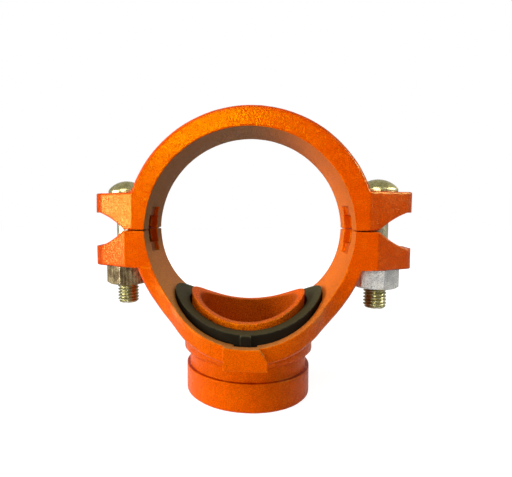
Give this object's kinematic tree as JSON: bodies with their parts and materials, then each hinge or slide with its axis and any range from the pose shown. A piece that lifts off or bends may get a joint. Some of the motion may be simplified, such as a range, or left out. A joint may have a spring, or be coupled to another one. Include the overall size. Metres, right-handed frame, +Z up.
{
  "type": "grooved mechanical tee",
  "caption": "Two-piece bolted saddle tee that clamps over a hole in a run pipe, with a rubber saddle seal and a grooved outlet for a branch pipe.",
  "frame": {"origin": "where the run pipe's axis crosses the outlet's axis, on the plane where the two halves meet", "axes": "+Y along the run pipe, +Z up and away from the outlet, +X towards one of the two bolts"},
  "size_m": [0.182, 0.101, 0.1633],
  "materials": {
    "orange_paint": "satin paint over sand-cast ductile iron",
    "gasket_rubber": "matt moulded rubber",
    "zinc_plate": "yellow zinc plating"
  },
  "bodies": {
    "root": {"upper_housing": "orange_paint", "outlet_housing": "orange_paint", "outlet_gasket": "gasket_rubber", "bolt_left": "zinc_plate", "bolt_right": "zinc_plate", "nut_left": "zinc_plate", "nut_right": "zinc_plate"}
  },
  "joints": []
}
